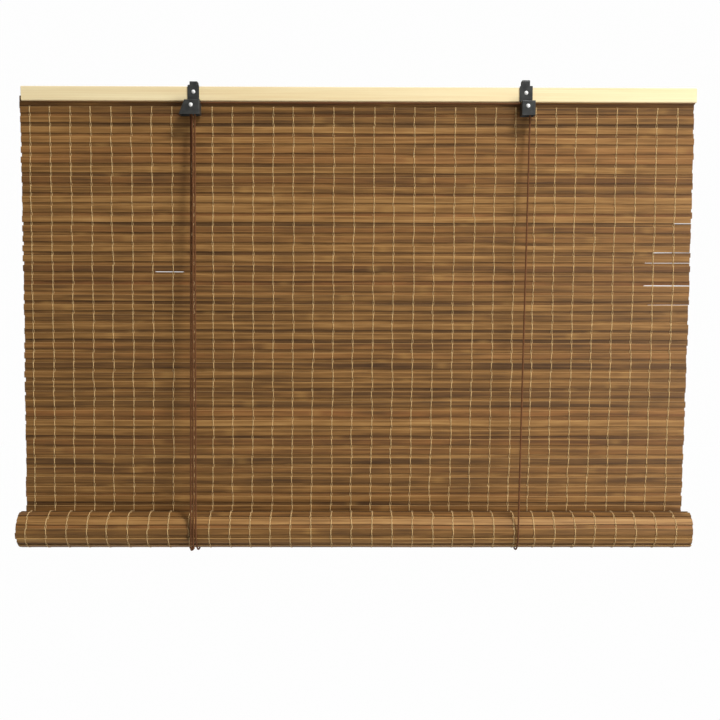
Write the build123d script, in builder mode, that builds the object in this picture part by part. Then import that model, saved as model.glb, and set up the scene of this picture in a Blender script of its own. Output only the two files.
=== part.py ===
from build123d import *
import os
from math import acos, atan2, cos, degrees, hypot, pi, radians, sin, sqrt, tan

# Bamboo roll up blind: a wooden headrail, a mat of two layers of split bamboo slats tied by
# warp threads, the foot of the mat rolled up on a round batten, and two folded steel
# brackets with pulleys and a cord lock. Millimetres. +X is to the right as the blind is
# looked at, -Y is towards the room, +Z is up. The origin is the middle of the headrail's back.

# Headrail
rail_length = 900.0
rail_depth = 14.0
rail_height = 19.0
rail_edge_radius = 1.2
rail_end_chamfer = 0.5

# Mat of slats, a little out of line with the headrail's ends
mat_past_left_end = 3.5
mat_short_of_right_end = 1.5
slat_width = 8.4
slat_thickness = 1.3
slat_pitch = 13.15
slat_ease = 0.9
slat_ease_depth = 0.35
mat_setback = 8.5
mat_rise_in_rail = 6.2
groove_clearance = 0.3
hanging_slat_count = 44
mat_end_gap = 0.3

# See-through slits where two slats have drawn apart: how far their two ends lie from the
# mat's left or right edge, and the number of slats above them
slit_height = 1.0
slits_from_left = [(183.5, 225.0, 17)]
slits_from_right = [(46.5, 8.0, 12), (66.0, 10.5, 15), (66.0, 10.5, 16), (66.0, 13.5, 19)]

# Nails that hold the mat in the headrail
nail_count = 6
nail_inset = 20.0
nail_drop = 3.2
nail_diameter = 1.3
nail_length = 11.5
nail_head_diameter = 2.8
nail_head_height = 0.6
nail_sink = 0.3

# Roll at the foot of the mat
roll_radius = 26.2
rolled_slat_count = 34
batten_diameter = 17.0
batten_overhang = 2.0
batten_clearance = 0.2
batten_chamfer = 0.8

# Warp threads
thread_count = 33
first_thread_inset = 9.7
last_thread_inset = 21.9
thread_width = 1.1
thread_thickness = 0.45
thread_end_gap = 0.4

# Cords
cord_diameter = 2.2
cord_clearance = 0.3

# Brackets, folded from steel strip
sheet = 1.2
bend_radius = 1.5
corner_radius = 1.0
fit = 0.1
plate_rise = 1.8
tongue_width = 9.8
rear_leg = 9.0
rebate_play = 0.2
housing_height = 19.4
housing_front = 27.0
housing_back = 11.5

# Left bracket, the cord lock
left_plate_x = -220.8
left_plate_width = 15.1
left_tongue_rise = 6.8
left_housing = (-231.3, -211.0)
left_flare = 7.5
left_axle_x = -222.5

# Right bracket, a plain pulley
right_plate_x = 221.6
right_plate_width = 17.2
right_tongue_rise = 9.8
right_housing = (214.1, 232.4)
right_flare = 0.0
right_axle_x = 222.4

# Pulleys and their rivets
axle_drop = 7.2
axle_diameter = 2.6
axle_clearance = 0.06
pulley_line_radius = 4.3
pulley_flange_radius = 5.3
pulley_flange = 0.7
groove_pitch = 3.8
hub_radius = 2.4
rivet_head_diameter = 5.3
rivet_head_height = 1.5
rivet_tail_diameter = 3.8
rivet_tail_height = 0.5
passage_clearance = 0.3

# Cord lock roller
roller_diameter = 7.0
roller_end_gap = 0.4
roller_clearance = 0.25
roller_stub_diameter = 2.4
roller_stub_end = 0.2
roller_travel = 3.0
knurl_ridges = 16
knurl_depth = 0.35

# Bracket screws
screw_drop = 7.2
screw_shank_diameter = 2.9
screw_length = 10.0
screw_head_diameter = 5.3
screw_head_height = 1.5

# Where the cords hang
left_loop_x = -216.2
right_loop_x = 211.5
outer_strand_x = -223.0
inner_strand_x = -219.6
outer_lean = 12.0
inner_lean = 24.0
lead_in = 2.0
lead_out = 12.0
back_cord_setback = 3.6
back_cord_depth = 6.0
back_cord_bend = 60.0
tail_start = 7.0
tail_length = 19.0
knot_radius = 3.9
knot_height = 6.4
knot_top_round = 0.9
knot_foot_round = 2.9

# Worked out from the sizes above
rail_top = rail_height / 2
rail_bottom = -rail_height / 2
cord_radius = cord_diameter / 2
mat_y = -mat_setback
mat_left = -rail_length / 2 - mat_past_left_end
mat_right = rail_length / 2 - mat_short_of_right_end
mat_width = mat_right - mat_left
mat_top = rail_bottom + mat_rise_in_rail
overlap = slat_width - slat_pitch / 2
roll_line_radius = roll_radius - slat_thickness
roll_y = mat_y - roll_line_radius
roll_z = mat_top - hanging_slat_count * slat_pitch
batten_radius = batten_diameter / 2
rolled_length = (rolled_slat_count - 1) * slat_pitch + slat_width
inner_flat = slat_width / 2 - slat_ease
core_line_radius = (batten_radius + batten_clearance + slat_thickness
                    + inner_flat**2 / (2 * batten_radius))
turn_spacing = pi * (roll_line_radius**2 - core_line_radius**2) / rolled_length
loop_radius = roll_radius + cord_clearance + cord_radius
axle_z = rail_bottom - axle_drop
axle_radius = axle_diameter / 2
housing_bottom = rail_bottom - housing_height
inside_front = -housing_front + sheet
inside_back = -housing_back - sheet
groove_middle = (inside_front + inside_back) / 2
rear_groove_y = groove_middle + groove_pitch / 2
front_groove_y = groove_middle - groove_pitch / 2
run_z = axle_z + pulley_line_radius
screw_z = rail_top - screw_drop
nail_z = rail_bottom + nail_drop
slits = ([(mat_left + start, mat_left + end, above) for start, end, above in slits_from_left]
         + [(mat_right - start, mat_right - end, above)
            for start, end, above in slits_from_right])


def evenly(first, last, count):
    """Places from first to last, evenly spaced."""
    return [first + k * (last - first) / (count - 1) for k in range(count)]


nail_x = evenly(-rail_length / 2 + nail_inset, rail_length / 2 - nail_inset, nail_count)
thread_x = evenly(mat_left + first_thread_inset, mat_right - last_thread_inset, thread_count)


def slat_outline(slats, end, carried_over=False):
    """Outline of the woven mat as (distance down the mat, offset to its rear) points.
    The proud slats lie in front of the middle line and the others behind it, each bridging
    the gap between two proud ones with the same overlap above and below. carried_over
    begins with the end of a rear slat that started further up."""
    proud = slat_thickness
    eased = slat_thickness - slat_ease_depth
    front = []
    rear = []
    if carried_over:
        rear += [(0, proud), (overlap - slat_ease, proud), (overlap, eased), (overlap, 0)]
    for k in range(slats):
        top = k * slat_pitch
        foot = top + slat_width
        front += [(top, 0), (top, -eased), (top + slat_ease, -proud),
                  (foot - slat_ease, -proud), (foot, -eased), (foot, 0)]
        rear_top = foot - overlap
        rear_foot = top + slat_pitch + overlap
        rear += [(rear_top, 0), (rear_top, eased), (rear_top + slat_ease, proud)]
        if rear_foot < end:
            rear += [(rear_foot - slat_ease, proud), (rear_foot, eased), (rear_foot, 0)]
        else:
            rear += [(end, proud)]
    if end > foot:
        front += [(end, 0)]
    return front + rear[::-1]


def hanging(point):
    """A point of the mat's outline where the mat hangs straight."""
    down, back = point
    return (mat_y + back, mat_top - down)


def rolled(point):
    """A point of the mat's outline on the roll: a spiral whose radius falls by turn_spacing
    each turn. It begins at the back of the roll and passes under it and up its front."""
    along, out = point
    shrink = turn_spacing / (2 * pi)
    turn = (roll_line_radius - sqrt(roll_line_radius**2 - 2 * shrink * along)) / shrink
    radius = roll_line_radius - shrink * turn + out
    return (roll_y + radius * cos(turn), roll_z - radius * sin(turn))


def front_touch(start_y):
    """Where a cord from the foot of a housing meets the front of the roll, in Y and Z, the
    direction in which it runs there, and the angle of that point about the roll."""
    to_y = start_y - roll_y
    to_z = housing_bottom - roll_z
    angle = atan2(to_z, to_y) + acos(loop_radius / hypot(to_y, to_z))
    touch = (roll_y + loop_radius * cos(angle), roll_z + loop_radius * sin(angle))
    return touch, (-sin(angle), cos(angle)), degrees(angle)


def bend_radii(route):
    """The radius at each corner of a cord's route: 0.45 of the shorter run beside it,
    divided by the tangent of half the turn."""
    points = [Vector(*point) for point in route]
    radii = []
    for before, corner, after in zip(points, points[1:], points[2:]):
        half_turn = radians((corner - before).get_angle(after - corner)) / 2
        shorter = min((corner - before).length, (after - corner).length)
        radii.append(0.45 * shorter / tan(half_turn))
    return radii


def save(piece, name):
    piece.part.label = name
    export_step(piece.part, f"parts/{name}.step")


def save_cord(path, name):
    """A plain round cord swept along a path, saved, with its length printed."""
    route = Wire(path.edges())
    with BuildPart() as cord:
        with BuildSketch(Plane(route @ 0, z_dir=route % 0)):
            Circle(cord_radius)
        sweep(path=route)
    save(cord, name)
    ratio = cord.part.volume / (pi * cord_radius**2 * route.length)
    print(name, "length", round(route.length, 1), "volume ratio", round(ratio, 4))


def save_route(route, name):
    """A cord along straight runs joined by tangent arcs."""
    radii = bend_radii(route)
    with BuildLine() as path:
        FilletPolyline(*route, radius=radii)
    save_cord(path, name)
    print(name, "radii", [round(radius, 1) for radius in radii])


os.makedirs("parts", exist_ok=True)

# Headrail: a planed lath with a groove for the mat below, blind holes for the lift cords'
# ends, pilot holes for the bracket screws, nail holes and rebates for the brackets' legs
with BuildPart() as headrail:
    with BuildSketch(Plane.YZ.offset(-rail_length / 2)):
        with Locations((-rail_depth / 2, 0)):
            RectangleRounded(rail_depth, rail_height, rail_edge_radius)
    extrude(amount=rail_length)
    rail_ends = headrail.faces().filter_by(Axis.X)
    chamfer(rail_ends.edges(), length=rail_end_chamfer)
    with BuildSketch(Plane.XY.offset(rail_bottom)):
        with Locations((0, mat_y)):
            Rectangle(rail_length, 2 * (slat_thickness + groove_clearance))
    extrude(amount=mat_rise_in_rail + groove_clearance, mode=Mode.SUBTRACT)
    with BuildSketch(Plane.XY.offset(rail_bottom)):
        with Locations((left_loop_x, -back_cord_setback), (right_loop_x, -back_cord_setback)):
            Circle(cord_radius + fit)
    extrude(amount=back_cord_depth + fit, mode=Mode.SUBTRACT)
    with BuildSketch(Plane.XZ.offset(rail_depth)):
        with Locations((left_plate_x, screw_z), (right_plate_x, screw_z)):
            Circle(screw_shank_diameter / 2 + fit)
    extrude(amount=-(screw_length + fit), mode=Mode.SUBTRACT)
    with BuildSketch(Plane.XZ):
        with Locations((left_plate_x, rail_top - rear_leg / 2),
                       (right_plate_x, rail_top - rear_leg / 2)):
            Rectangle(tongue_width + 2 * rebate_play, rear_leg + 2 * rebate_play)
    extrude(amount=sheet + rebate_play, mode=Mode.SUBTRACT)
    with BuildSketch(Plane.XZ):
        with Locations(*[(x, nail_z) for x in nail_x]):
            Circle(nail_diameter / 2 + fit)
    extrude(amount=nail_length + nail_sink + fit, mode=Mode.SUBTRACT)
    with BuildSketch(Plane.XZ):
        with Locations(*[(x, nail_z) for x in nail_x]):
            Circle(nail_head_diameter / 2 + fit)
    extrude(amount=nail_head_height + nail_sink, mode=Mode.SUBTRACT)
save(headrail, "headrail")

# Nails driven in from the back, through the rail and the top slats of the mat
with BuildPart() as mat_nails:
    with BuildSketch(Plane.XZ.offset(nail_sink)):
        with Locations(*[(x, nail_z) for x in nail_x]):
            Circle(nail_head_diameter / 2)
    extrude(amount=nail_head_height)
    with BuildSketch(Plane.XZ.offset(nail_sink + nail_head_height)):
        with Locations(*[(x, nail_z) for x in nail_x]):
            Circle(nail_diameter / 2)
    extrude(amount=nail_length - nail_head_height)
save(mat_nails, "mat_nails")

# Hanging part of the mat, one woven panel
mat_length = hanging_slat_count * slat_pitch - mat_end_gap
with BuildPart() as woven_mat:
    with BuildSketch(Plane.YZ.offset(mat_left)):
        with BuildLine():
            Polyline(*map(hanging, slat_outline(hanging_slat_count, mat_length)), close=True)
        make_face()
    extrude(amount=mat_width)
    for slit_left, slit_right, slats_above in slits:
        slit_z = mat_top - slats_above * slat_pitch - slat_width - slit_height / 2
        with BuildSketch(Plane.XZ.offset(mat_setback + 2 * slat_thickness)):
            with Locations(((slit_left + slit_right) / 2, slit_z)):
                Rectangle(slit_right - slit_left, slit_height)
        extrude(amount=-4 * slat_thickness, mode=Mode.SUBTRACT)
    with BuildSketch(Plane.XZ.offset(mat_setback + 2 * slat_thickness)):
        with Locations(*[(x, nail_z) for x in nail_x]):
            Circle(nail_diameter / 2 + fit)
    extrude(amount=-4 * slat_thickness, mode=Mode.SUBTRACT)
save(woven_mat, "woven_mat")

# Warp threads on both faces of the hanging mat
thread_top = rail_bottom - thread_end_gap
thread_foot = roll_z + thread_end_gap
thread_reach = slat_thickness + thread_thickness / 2
with BuildPart() as warp_threads:
    with BuildSketch(Plane.XY.offset(thread_foot)):
        with Locations(*[(x, mat_y + side) for x in thread_x
                         for side in (-thread_reach, thread_reach)]):
            Rectangle(thread_width, thread_thickness)
    extrude(amount=thread_top - thread_foot)
save(warp_threads, "warp_threads")

# Rolled part of the mat, one panel wound round the batten
with BuildPart() as rolled_mat:
    with BuildSketch(Plane.YZ.offset(mat_left)):
        with BuildLine():
            Polyline(*map(rolled, slat_outline(rolled_slat_count, rolled_length, True)),
                     close=True)
        make_face()
    extrude(amount=mat_width)
save(rolled_mat, "rolled_mat")

# Round batten at the heart of the roll
with BuildPart() as bottom_batten:
    with BuildSketch(Plane.YZ.offset(mat_left - batten_overhang)):
        with Locations((roll_y, roll_z)):
            Circle(batten_radius)
    extrude(amount=mat_width + 2 * batten_overhang)
    chamfer(bottom_batten.edges().filter_by(GeomType.CIRCLE), length=batten_chamfer)
save(bottom_batten, "bottom_batten")


def housing_outline(left, right, flare, wall, top, bottom):
    """Corners of a housing's outline in X and Z, its left side flared, set in by a wall."""
    lean = flare / housing_height
    inset = wall * hypot(1, lean)
    return [(left + inset - lean * (rail_bottom - top), top), (right - wall, top),
            (right - wall, bottom), (left + inset - lean * (rail_bottom - bottom), bottom)]


def make_bracket(plate_x, plate_width, tongue_rise, housing, flare, axle_x, passage_x):
    """A bracket folded from steel strip. Its plate lies on the front of the headrail, its
    tongue arches over the top as a hanging eye and ends in a leg behind the rail, and its
    foot is folded into a housing, open below, that carries the pulley's rivet. The right
    lift cord crosses between the housings through a hole in the cheek at passage_x."""
    arch_top = rail_top + tongue_rise
    with BuildPart() as bracket:
        with BuildSketch(Plane.XZ.offset(housing_back)):
            with BuildLine():
                Polyline(*housing_outline(*housing, flare, 0, rail_bottom, housing_bottom),
                         close=True)
            make_face()
        extrude(amount=housing_front - housing_back)
        front_edges = bracket.edges().group_by(Axis.Y)[0]
        fillet(front_edges.sort_by(Axis.Z)[1:], radius=bend_radius)
        with BuildSketch(Plane.XZ.offset(housing_back + sheet)):
            with BuildLine():
                Polyline(*housing_outline(*housing, flare, sheet, rail_bottom - sheet,
                                          housing_bottom - sheet), close=True)
            make_face()
        extrude(amount=inside_back - inside_front, mode=Mode.SUBTRACT)
        with BuildSketch(Plane.XZ.offset(rail_depth)) as plate:
            with Locations((plate_x, rail_bottom)):
                Rectangle(plate_width, rail_height + plate_rise, align=(Align.CENTER, Align.MIN))
            fillet(plate.vertices().group_by(Axis.Y)[-1], radius=corner_radius)
        extrude(amount=sheet)
        with BuildSketch(Plane.YZ.offset(plate_x - tongue_width / 2)):
            with BuildLine():
                FilletPolyline((-rail_depth - sheet, rail_top), (-rail_depth - sheet, arch_top),
                               (-rebate_play, arch_top), (-rebate_play, rail_top - rear_leg),
                               radius=[bend_radius + sheet, bend_radius + sheet])
                offset(amount=sheet, side=Side.RIGHT)
            make_face()
        extrude(amount=tongue_width)
        with BuildSketch(Plane.XZ.offset(rail_depth)):
            with Locations((plate_x, screw_z)):
                Circle(screw_shank_diameter / 2 + fit)
        extrude(amount=sheet, mode=Mode.SUBTRACT)
        with BuildSketch(Plane.XZ):
            with Locations((axle_x, axle_z)):
                Circle(axle_radius + axle_clearance)
        extrude(amount=housing_front, mode=Mode.SUBTRACT)
        with BuildSketch(Plane.YZ.offset(passage_x)):
            with Locations((rear_groove_y, run_z)):
                Circle(cord_radius + passage_clearance)
        extrude(amount=sheet, mode=Mode.SUBTRACT)
    return bracket


# The roller's seat in the wedge between the flared cheek and the outer pull strand
slant = atan2(left_flare, housing_height)
cheek_line_x = housing_outline(*left_housing, left_flare, sheet, axle_z, axle_z)[0][0]
roller_radius = roller_diameter / 2
from_cheek = (left_axle_x - cheek_line_x) * cos(slant) - roller_radius - roller_clearance
from_strand = pulley_line_radius + cord_radius + roller_clearance + roller_radius
lean = radians(outer_lean)
roller_x = left_axle_x - (from_cheek * sin(lean) + from_strand * sin(slant)) / sin(slant + lean)
roller_z = axle_z - (from_strand * cos(slant) - from_cheek * cos(lean)) / sin(slant + lean)
slide_x = -roller_travel * sin(slant)
slide_z = -roller_travel * cos(slant)

# Left bracket, with the slanted slot that guides the lock roller in its back plate
left_blank = make_bracket(left_plate_x, left_plate_width, left_tongue_rise, left_housing,
                          left_flare, left_axle_x, left_housing[1] - sheet)
with BuildPart() as left_bracket:
    add(left_blank.part)
    with BuildSketch(Plane.XZ.offset(housing_back)):
        with Locations((roller_x + slide_x / 2, roller_z + slide_z / 2)):
            SlotCenterToCenter(roller_travel, roller_stub_diameter + 2 * fit,
                               rotation=90 - degrees(slant))
    extrude(amount=sheet, mode=Mode.SUBTRACT)
save(left_bracket, "left_bracket")

# Right bracket
right_bracket = make_bracket(right_plate_x, right_plate_width, right_tongue_rise,
                             right_housing, right_flare, right_axle_x, right_housing[0])
save(right_bracket, "right_bracket")

# Lock roller, knurled, with the stub that rides in the slot
with BuildPart() as lock_roller:
    with BuildSketch(Plane.XZ.offset(-inside_back + roller_end_gap)):
        with BuildLine():
            ridges = [(roller_radius - knurl_depth * (k % 2), pi * k / knurl_ridges)
                      for k in range(2 * knurl_ridges)]
            Polyline(*[(roller_x + radius * cos(turn), roller_z + radius * sin(turn))
                       for radius, turn in ridges], close=True)
        make_face()
    extrude(amount=inside_back - inside_front - 2 * roller_end_gap)
    with BuildSketch(Plane.XZ.offset(housing_back - roller_stub_end)):
        with Locations((roller_x, roller_z)):
            Circle(roller_stub_diameter / 2)
    extrude(amount=sheet + roller_end_gap + roller_stub_end)
save(lock_roller, "lock_roller")


def across(x, z):
    """The plane through a pin's axis, in which a turned piece's profile is drawn: its first
    coordinate is Y and its second the distance above the axis."""
    return Plane(origin=(x, 0, z), x_dir=(0, 1, 0), z_dir=(1, 0, 0))


def turned_about(x, z):
    """Turn the profile just drawn about the pin's axis."""
    revolve(axis=Axis((x, 0, z), (0, 1, 0)))


def dome(face_y, radius, height):
    """A shallow dome in front of a face: an arc from its crown to its rim."""
    sphere = (radius**2 + height**2) / (2 * height)
    half = atan2(radius, sphere - height) / 2
    crown_y = face_y - height
    middle = (crown_y + sphere * (1 - cos(half)), sphere * sin(half))
    return ThreePointArc((crown_y, 0), middle, (face_y, radius))


# Pulleys, turned with one groove or two and a hub that keeps them between the plates
groove_radius = cord_radius + passage_clearance
hub_length = inside_back - inside_front - 2 * fit


def make_pulley(axle_x, grooves, name):
    with BuildPart() as pulley:
        with BuildSketch(across(axle_x, axle_z)):
            with Locations((groove_middle, 0)):
                Rectangle(hub_length, hub_radius, align=(Align.CENTER, Align.MIN))
            wheel_width = max(grooves) - min(grooves) + 2 * (groove_radius + pulley_flange)
            with Locations((sum(grooves) / len(grooves), 0)):
                Rectangle(wheel_width, pulley_flange_radius, align=(Align.CENTER, Align.MIN))
            with Locations(*[(y, pulley_line_radius) for y in grooves]):
                Circle(groove_radius, mode=Mode.SUBTRACT)
                Rectangle(2 * groove_radius, 2 * groove_radius,
                          align=(Align.CENTER, Align.MIN), mode=Mode.SUBTRACT)
            with Locations((groove_middle, 0)):
                Rectangle(hub_length, axle_radius + axle_clearance,
                          align=(Align.CENTER, Align.MIN), mode=Mode.SUBTRACT)
        turned_about(axle_x, axle_z)
    save(pulley, name)


make_pulley(left_axle_x, [rear_groove_y, front_groove_y], "left_pulley")
make_pulley(right_axle_x, [rear_groove_y], "right_pulley")


def make_rivet(axle_x, name):
    """The pulley's pin: domed in front, upset behind the back plate."""
    tail_y = -housing_back + rivet_tail_height
    with BuildPart() as rivet:
        with BuildSketch(across(axle_x, axle_z)):
            with BuildLine():
                dome(-housing_front, rivet_head_diameter / 2, rivet_head_height)
                Polyline((-housing_front, rivet_head_diameter / 2),
                         (-housing_front, axle_radius), (-housing_back, axle_radius),
                         (-housing_back, rivet_tail_diameter / 2),
                         (tail_y, rivet_tail_diameter / 2), (tail_y, 0),
                         (-housing_front - rivet_head_height, 0))
            make_face()
        turned_about(axle_x, axle_z)
    save(rivet, name)


make_rivet(left_axle_x, "left_rivet")
make_rivet(right_axle_x, "right_rivet")

# Screws that hold the brackets' plates to the headrail
plate_front = -rail_depth - sheet
screw_radius = screw_shank_diameter / 2
screw_end = plate_front + screw_length
with BuildPart() as bracket_screws:
    for screw_x in (left_plate_x, right_plate_x):
        with BuildSketch(across(screw_x, screw_z)):
            with BuildLine():
                dome(plate_front, screw_head_diameter / 2, screw_head_height)
                Polyline((plate_front, screw_head_diameter / 2), (plate_front, screw_radius),
                         (screw_end - screw_radius, screw_radius), (screw_end, 0),
                         (plate_front - screw_head_height, 0))
            make_face()
        turned_about(screw_x, screw_z)
save(bracket_screws, "bracket_screws")


def leaving_point(axle_x, lean_degrees):
    """A strand leaves the left side of a pulley leaning inwards by an angle: where it parts
    from the pulley, where it leaves the housing, and its direction."""
    a = radians(lean_degrees)
    part_x = axle_x - pulley_line_radius * cos(a)
    part_z = axle_z - pulley_line_radius * sin(a)
    return (part_x, part_z), (part_x + (part_z - housing_bottom) * tan(a), housing_bottom)


# Lift cords where they pass over the pulleys, each on into a pull strand
outer_part, outer_exit = leaving_point(left_axle_x, outer_lean)
inner_part, inner_exit = leaving_point(left_axle_x, inner_lean)
right_side_x = right_axle_x + pulley_line_radius
left_side_x = left_axle_x + pulley_line_radius

with BuildLine(Plane.XZ.offset(-rear_groove_y)) as path:
    Line((right_side_x, housing_bottom), (right_side_x, axle_z))
    CenterArc((right_axle_x, axle_z), pulley_line_radius, 0, 90)
    Line((right_axle_x, run_z), (left_axle_x, run_z))
    CenterArc((left_axle_x, axle_z), pulley_line_radius, 90, 90 + outer_lean)
    Line(outer_part, outer_exit)
save_cord(path, "right_cord_top")

with BuildLine(Plane.XZ.offset(-front_groove_y)) as path:
    Line((left_side_x, housing_bottom), (left_side_x, axle_z))
    CenterArc((left_axle_x, axle_z), pulley_line_radius, 0, 180 + inner_lean)
    Line(inner_part, inner_exit)
save_cord(path, "left_cord_top")


def slack_route(start_x, start_y, lean_degrees, foot_x):
    """The taut run from a housing to the front of the roll: out in line with the cord inside
    the housing, straight down, and into line with the roll's face at its own height."""
    a = radians(lean_degrees)
    touch, (run_y, run_z_part), _ = front_touch(start_y)
    return [(start_x, start_y, housing_bottom),
            (start_x + lead_in * sin(a), start_y, housing_bottom - lead_in * cos(a)),
            (foot_x, touch[0] - lead_out * run_y, touch[1] - lead_out * run_z_part),
            (foot_x, touch[0], touch[1])]


save_route(slack_route(left_side_x, front_groove_y, 0, left_loop_x), "left_lift_front")
save_route(slack_route(right_side_x, rear_groove_y, 0, right_loop_x), "right_lift_front")
save_route(slack_route(outer_exit[0], rear_groove_y, outer_lean, outer_strand_x),
           "outer_pull_strand")
save_route(slack_route(inner_exit[0], front_groove_y, inner_lean, inner_strand_x),
           "inner_pull_strand")

# Lift cords under the roll, in which it hangs, and up behind the mat to the headrail
loop_back_y = roll_y + loop_radius
for side, loop_x, start_y in (("left", left_loop_x, front_groove_y),
                              ("right", right_loop_x, rear_groove_y)):
    begin = front_touch(start_y)[2]
    with BuildLine(Plane.YZ.offset(loop_x)) as path:
        CenterArc((roll_y, roll_z), loop_radius, begin, 360 - begin)
    save_cord(path, f"{side}_lift_loop")
    save_route([(loop_x, loop_back_y, roll_z),
                (loop_x, loop_back_y, rail_bottom - back_cord_bend),
                (loop_x, -back_cord_setback, rail_bottom),
                (loop_x, -back_cord_setback, rail_bottom + back_cord_depth)],
               f"{side}_lift_back")

# Free ends of the pull strands, and the knot that joins them
knot_top = front_touch(rear_groove_y)[0][1] - tail_length
tail_y = front_touch(rear_groove_y)[0][0]
for name, strand_x, start_y in (("outer_pull_tail", outer_strand_x, rear_groove_y),
                                ("inner_pull_tail", inner_strand_x, front_groove_y)):
    touch, (run_y, run_down), _ = front_touch(start_y)
    bend = (strand_x, touch[0] + tail_start * run_y, touch[1] + tail_start * run_down)
    save_route([(strand_x, *touch), bend, (strand_x, bend[1], knot_top)], name)

knot_x = (outer_strand_x + inner_strand_x) / 2
with BuildPart() as end_knot:
    with BuildSketch(Plane.XY.offset(knot_top)):
        with Locations((knot_x, tail_y)):
            Circle(knot_radius)
    extrude(amount=-knot_height)
    fillet(end_knot.edges().group_by(Axis.Z)[0], radius=knot_foot_round)
    fillet(end_knot.edges().group_by(Axis.Z)[-1], radius=knot_top_round)
save(end_knot, "end_knot")

print("roll centre", round(roll_y, 3), round(roll_z, 3), "turn spacing", round(turn_spacing, 3))
print("loop radius", round(loop_radius, 3), "mat top", mat_top, "pulley axle z", axle_z)
print("lock roller slides", round(-sin(slant), 5), round(-cos(slant), 5), "over", roller_travel)
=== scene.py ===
"""Looks of the bamboo roll up blind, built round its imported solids.

Metres. +X is to the right as the blind is looked at, -Y is towards the room and +Z is up.
The origin is the middle of the headrail's back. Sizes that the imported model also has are
the ones that its source names."""
import bpy
import numpy as np
from math import acos, atan2, cos, hypot, pi, radians, sin
from mathutils import Matrix, Vector


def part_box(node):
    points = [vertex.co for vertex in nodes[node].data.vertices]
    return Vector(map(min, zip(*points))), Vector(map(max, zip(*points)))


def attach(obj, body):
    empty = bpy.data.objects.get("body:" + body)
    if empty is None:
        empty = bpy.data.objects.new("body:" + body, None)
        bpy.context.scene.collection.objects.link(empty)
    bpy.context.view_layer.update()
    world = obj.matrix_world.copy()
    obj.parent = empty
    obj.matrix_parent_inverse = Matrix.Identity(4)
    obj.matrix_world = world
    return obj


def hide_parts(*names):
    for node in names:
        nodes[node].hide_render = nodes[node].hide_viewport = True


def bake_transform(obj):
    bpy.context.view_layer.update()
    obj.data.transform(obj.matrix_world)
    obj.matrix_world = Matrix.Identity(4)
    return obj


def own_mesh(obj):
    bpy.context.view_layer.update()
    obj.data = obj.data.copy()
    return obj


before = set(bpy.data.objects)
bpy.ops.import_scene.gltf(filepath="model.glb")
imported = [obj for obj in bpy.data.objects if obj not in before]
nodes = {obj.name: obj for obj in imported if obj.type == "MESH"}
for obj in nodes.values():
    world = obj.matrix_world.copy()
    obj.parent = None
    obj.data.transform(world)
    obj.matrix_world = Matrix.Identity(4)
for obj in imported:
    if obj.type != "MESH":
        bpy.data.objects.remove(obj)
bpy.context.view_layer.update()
rng = np.random.default_rng(23)
mm = 0.001

# Headrail and mat
rail_bottom = -9.5 * mm
mat_y = -8.5 * mm
mat_top = -3.3 * mm
mat_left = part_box("woven_mat")[0].x
mat_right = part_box("woven_mat")[1].x
slat_width = 8.4 * mm
slat_thickness = 1.3 * mm
slat_pitch = 13.15 * mm
overlap = slat_width - slat_pitch / 2
hanging_slat_count = 44
upper_slat_count = 4
rolled_slat_count = 34

# Roll
roll_radius = 26.2 * mm
turn_spacing = 3.599 * mm
# A flat slat sits this far inside the spiral, since its edges stand out from it
slat_inset = 0.3 * mm
roll_line_radius = roll_radius - slat_thickness
roll_y = mat_y - roll_line_radius
roll_z = mat_top - hanging_slat_count * slat_pitch
# The mat hangs a little askew: how far its foot and the roll have moved along X
foot_sway = -4.5 * mm
roll_sway = -2.8 * mm

# Warp threads
thread_x = np.linspace(mat_left + 13.1 * mm, mat_right - 22.5 * mm, 33)
thread_top = mat_top - slat_pitch + 1.2 * mm
strand_radius = 0.26 * mm
low_height = 0.1 * mm
low_height_on_roll = 0.3 * mm
# How uneven they are: the usual step between stations and between rows, and the size and
# the longest of the slow waves
station_spread = 0.1 * mm
row_spread = 0.3 * mm
waver_size = 0.35 * mm
waver_wave = 0.12

# Cords
cord_radius = 1.1 * mm
cord_sides = 12
cord_play = 0.3 * mm
loop_radius = roll_radius + cord_play + cord_radius
housing_bottom = -28.9 * mm
rear_groove_y = -17.35 * mm
front_groove_y = -21.15 * mm
left_side_x = -218.2 * mm
right_side_x = 226.7 * mm
left_loop_x = -216.2 * mm
right_loop_x = 211.5 * mm
outer_exit_x = -224.3 * mm
inner_exit_x = -221.8 * mm
outer_strand_x = -223.0 * mm
inner_strand_x = -219.6 * mm
outer_lean = 12
inner_lean = 24
lead_in = 2 * mm
lead_out = 12 * mm
back_cord_y = -3.6 * mm
back_cord_bend = 60 * mm
back_cord_depth = 6 * mm
tail_start = 7 * mm
tail_length = 19 * mm


# Node helpers

def linear(red, green, blue):
    """An 8-bit sRGB colour in linear light: each share c of 255 becomes
    ((c + 0.055) / 1.055) to the power 2.4."""
    share = np.array([red, green, blue]) / 255
    return (*((share + 0.055) / 1.055) ** 2.4, 1.0)


def feed(tree, node, inputs):
    """Give a node its inputs: a socket is linked, and any other value is set."""
    for name, value in inputs.items():
        if isinstance(value, bpy.types.NodeSocket):
            tree.links.new(value, node.inputs[name])
        else:
            node.inputs[name].default_value = value


def place(tree, kind, inputs=None, **settings):
    """Add a node to a tree, with its settings and its inputs."""
    made = tree.nodes.new(kind)
    for name, value in settings.items():
        setattr(made, name, value)
    feed(tree, made, inputs or {})
    return made


def calculate(tree, operation, *values):
    """A Math node's result."""
    return place(tree, "ShaderNodeMath", dict(enumerate(values)), operation=operation).outputs[0]


def swing(tree, value, amount):
    """A noise value's distance from its middle, which is a half, times an amount."""
    return calculate(tree, "MULTIPLY_ADD", value, amount, -amount / 2)


def weighed(tree, first, share, second):
    """Two values added, the first times its share and the second times the rest of one."""
    rest = calculate(tree, "MULTIPLY", second, 1 - share)
    return calculate(tree, "MULTIPLY_ADD", first, share, rest)


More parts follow.
